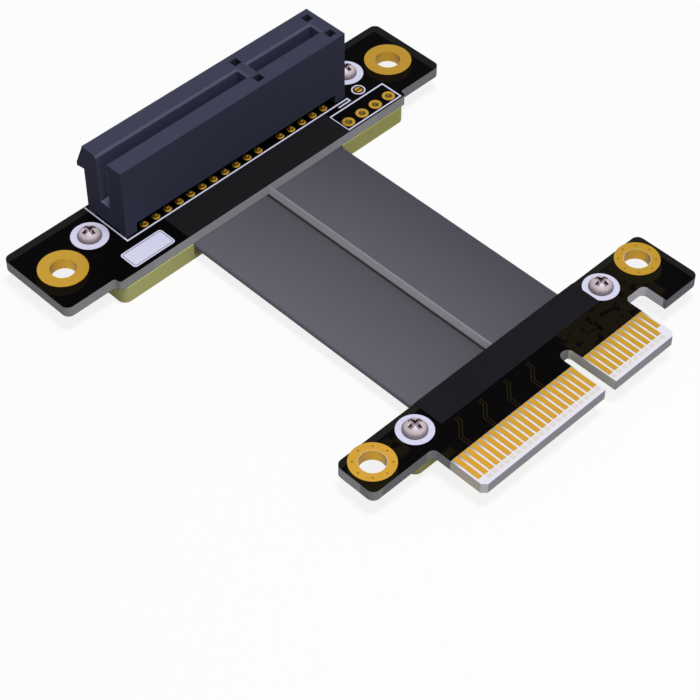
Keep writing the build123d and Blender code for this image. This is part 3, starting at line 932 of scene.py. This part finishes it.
def screws(places):
    """The same screw at each place, seated on the printed ring, with its marks."""
    points, faces, marks = screw_head()
    heads = [moved((points, faces), x, y, BOARD_TOP + INK) for x, y in places]
    return joined(*heads), ("recess", np.tile(marks, len(places)))


def close_poles(obj):
    """Merges the points that share one place, such as the centre of a turned shape."""
    bm = bmesh.new()
    bm.from_mesh(obj.data)
    bmesh.ops.remove_doubles(bm, verts=bm.verts, dist=1e-7)
    bmesh.ops.dissolve_degenerate(bm, edges=bm.edges, dist=1e-8)
    bm.to_mesh(obj.data)
    bm.free()


piece("socket_print", socket_print(), ink_look)
piece("label_box", label_box(), ink_look)
piece("label_line", label_line(), dark_ink_look)
piece("bridge_pads", half_moons(), ring_look)
tail_marks = barrel_marks(TAIL_SEGMENTS, len(tail_places()))
piece("tail_pads", tail_pads(), hole_look, marks=tail_marks)
cones = piece("tail_solder", solder_cones(), solder_look, sharp=60)
close_poles(cones)
header_marks = barrel_marks(HEADER_SEGMENTS, len(HEADER))
rings = piece("header_rings", header_rings(), hole_look, marks=header_marks)
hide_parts("socket_header_pads")
piece("peg_rings", peg_rings(), ring_look)
for name, places in (("socket_screws", SOCKET_SCREWS), ("plug_screws", PLUG_SCREWS)):
    shape, marks = screws(places)
    screw = piece(name + "_domed", shape, screw_look, sharp=50, marks=marks)
    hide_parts(name)


# Print on the plug board
def plug_print():
    """White rings round the screws."""
    return repeated(ring(SCREW_OPENING, 2.37, BOARD_TOP, BOARD_TOP + INK), PLUG_SCREWS)


def hole_rims():
    """A thin pale rim on the ring's face, at the edge of the hole."""
    top = BOARD_TOP + PLATING
    return repeated(ring(HOLE_RADIUS, HOLE_RADIUS + 0.065, top, top + 0.012), PLUG_MOUNTS)


def stitch_vias():
    """Eight small dimples on each mounting ring, evenly turned about the hole."""
    top = BOARD_TOP + PLATING
    a = np.arange(8) * math.pi / 4
    dot = ring(0.02, 0.13, top, top + 0.01, 16)
    places = [(x + 2.4 * math.cos(t), y + 2.4 * math.sin(t)) for x, y in PLUG_MOUNTS for t in a]
    return repeated(dot, places)


def tip_marks():
    """A pale mark in front of each finger but the outer ones."""
    columns = [x for x in LONG_COLUMNS + SHORT_COLUMNS if abs(x) < 16.4]
    x, y = 0.34, 0.28
    mark = slab([(-x, -y), (x, -y), (x, y), (-x, y)], BOARD_TOP, BOARD_TOP + 0.01)
    return repeated(mark, [(column, PLUG_FRONT + 0.82) for column in columns])


def plug_traces():
    """Pairs of covered traces that run back from the fingers with one long jog at 45 degrees."""
    low, high = BOARD_TOP, BOARD_TOP + 0.008
    lines = []
    for n, x in enumerate(np.arange(-13.6, 3.0, 4.2)):
        jog = 1.7 - 0.2 * (n % 2)
        for side in (-0.2, 0.2):
            start = x + side
            turn = BARE_FRONT + 1.7 - 0.41 * side
            path = [
                (start, BARE_FRONT + 0.1),
                (start, turn),
                (start + jog, turn + jog),
                (start + jog, PLUG_BACK - 4.9),
            ]
            lines.append(band(path, 0.13, low, high))
    return joined(*lines)


piece("plug_print", plug_print(), ink_look)
piece("hole_rims", hole_rims(), rim_look)
piece("stitch_vias", stitch_vias(), via_look)
piece("tip_marks", tip_marks(), tip_look)
piece("plug_traces", plug_traces(), trace_look)


# Studio
def seen_plainly(tree):
    """1 for rays of the camera, a gloss or clear glass, and 0 for light that is thrown back."""
    path = tree.nodes.new("ShaderNodeLightPath")
    seen = math_node(tree, "MAXIMUM", path.outputs["Is Camera Ray"], path.outputs["Is Glossy Ray"])
    return math_node(tree, "MAXIMUM", seen, path.outputs["Is Transmission Ray"])


def floor():
    """A wide pale floor under the part.

    It shows white to the camera and to gloss, keeps a soft shadow, and throws little light back.
    """
    mesh = bpy.data.meshes.new("floor")
    half = 3.0
    corners = [(-half, -half, 0), (half, -half, 0), (half, half, 0), (-half, half, 0)]
    mesh.from_pydata(corners, [], [(0, 1, 2, 3)])
    obj = bpy.data.objects.new("floor", mesh)
    bpy.context.scene.collection.objects.link(obj)
    material = bpy.data.materials.new("floor_white")
    material.use_nodes = True
    tree = material.node_tree
    tree.nodes.clear()
    out = tree.nodes.new("ShaderNodeOutputMaterial")
    matt = tree.nodes.new("ShaderNodeBsdfDiffuse")
    glow = tree.nodes.new("ShaderNodeEmission")
    glow.inputs["Color"].default_value = (1, 1, 1, 1)
    glow.inputs["Strength"].default_value = 1.0
    seen = seen_plainly(tree)
    share = math_node(tree, "MULTIPLY", seen, FLOOR_GLOW)
    shade = tree.nodes.new("ShaderNodeMix")
    shade.data_type = "RGBA"
    shade.inputs["A"].default_value = (0.32, 0.32, 0.32, 1)
    shade.inputs["B"].default_value = (0.9, 0.9, 0.9, 1)
    tree.links.new(seen, shade.inputs["Factor"])
    tree.links.new(shade.outputs["Result"], matt.inputs["Color"])
    mix = tree.nodes.new("ShaderNodeMixShader")
    tree.links.new(share, mix.inputs[0])
    tree.links.new(matt.outputs[0], mix.inputs[1])
    tree.links.new(glow.outputs[0], mix.inputs[2])
    tree.links.new(mix.outputs[0], out.inputs["Surface"])
    mesh.materials.append(material)


def soft_light(name, place, target, size, power):
    """A square area lamp at a place, turned towards a target."""
    lamp = bpy.data.lights.new(name, "AREA")
    lamp.shape = "SQUARE"
    lamp.size = size
    lamp.energy = power
    obj = bpy.data.objects.new(name, lamp)
    obj.location = place
    obj.rotation_mode = "QUATERNION"
    obj.rotation_quaternion = (Vector(target) - Vector(place)).to_track_quat("-Z", "Y")
    bpy.context.scene.collection.objects.link(obj)


def surroundings():
    """Plain pale surroundings, white where the camera or a gloss sees them."""
    world = bpy.data.worlds.new("studio")
    bpy.context.scene.world = world
    world.use_nodes = True
    tree = world.node_tree
    tree.nodes.clear()
    out = tree.nodes.new("ShaderNodeOutputWorld")
    back = tree.nodes.new("ShaderNodeBackground")
    back.inputs["Color"].default_value = (1, 1, 1, 1)
    seen = seen_plainly(tree)
    extra = math_node(tree, "MULTIPLY", seen, 1.0 - SKY)
    strength = math_node(tree, "ADD", extra, SKY)
    tree.links.new(strength, back.inputs["Strength"])
    tree.links.new(back.outputs[0], out.inputs["Surface"])


def camera():
    """The photograph's view: a long lens on the -X -Y side, looking down at 47 degrees."""
    lens = bpy.data.cameras.new("camera")
    lens.lens, lens.sensor_width = 109.84, 36
    lens.clip_start = 0.01
    lens.clip_end = 10
    obj = bpy.data.objects.new("camera", lens)
    forward = Vector((0.47701, 0.48072, -0.73578)).normalized()
    right = Vector((0.71099, -0.70320, 0.00151))
    right = (right - forward * right.dot(forward)).normalized()
    up = right.cross(forward)
    turn = Matrix((right, up, -forward)).transposed().to_4x4()
    obj.matrix_world = Matrix.Translation(Vector((-136.74, -132.82, 194.85)) * MM) @ turn
    bpy.context.scene.collection.objects.link(obj)
    bpy.context.scene.camera = obj


floor()
surroundings()
soft_light("key", (-0.01, -0.055, 0.46), (0, 0, 0), 0.12, 1.5)
soft_light("front", (-0.05, -0.6, 0.14), (0, 0, 0.005), 0.3, 0.35)
camera()
bpy.context.scene.view_settings.view_transform = "Standard"
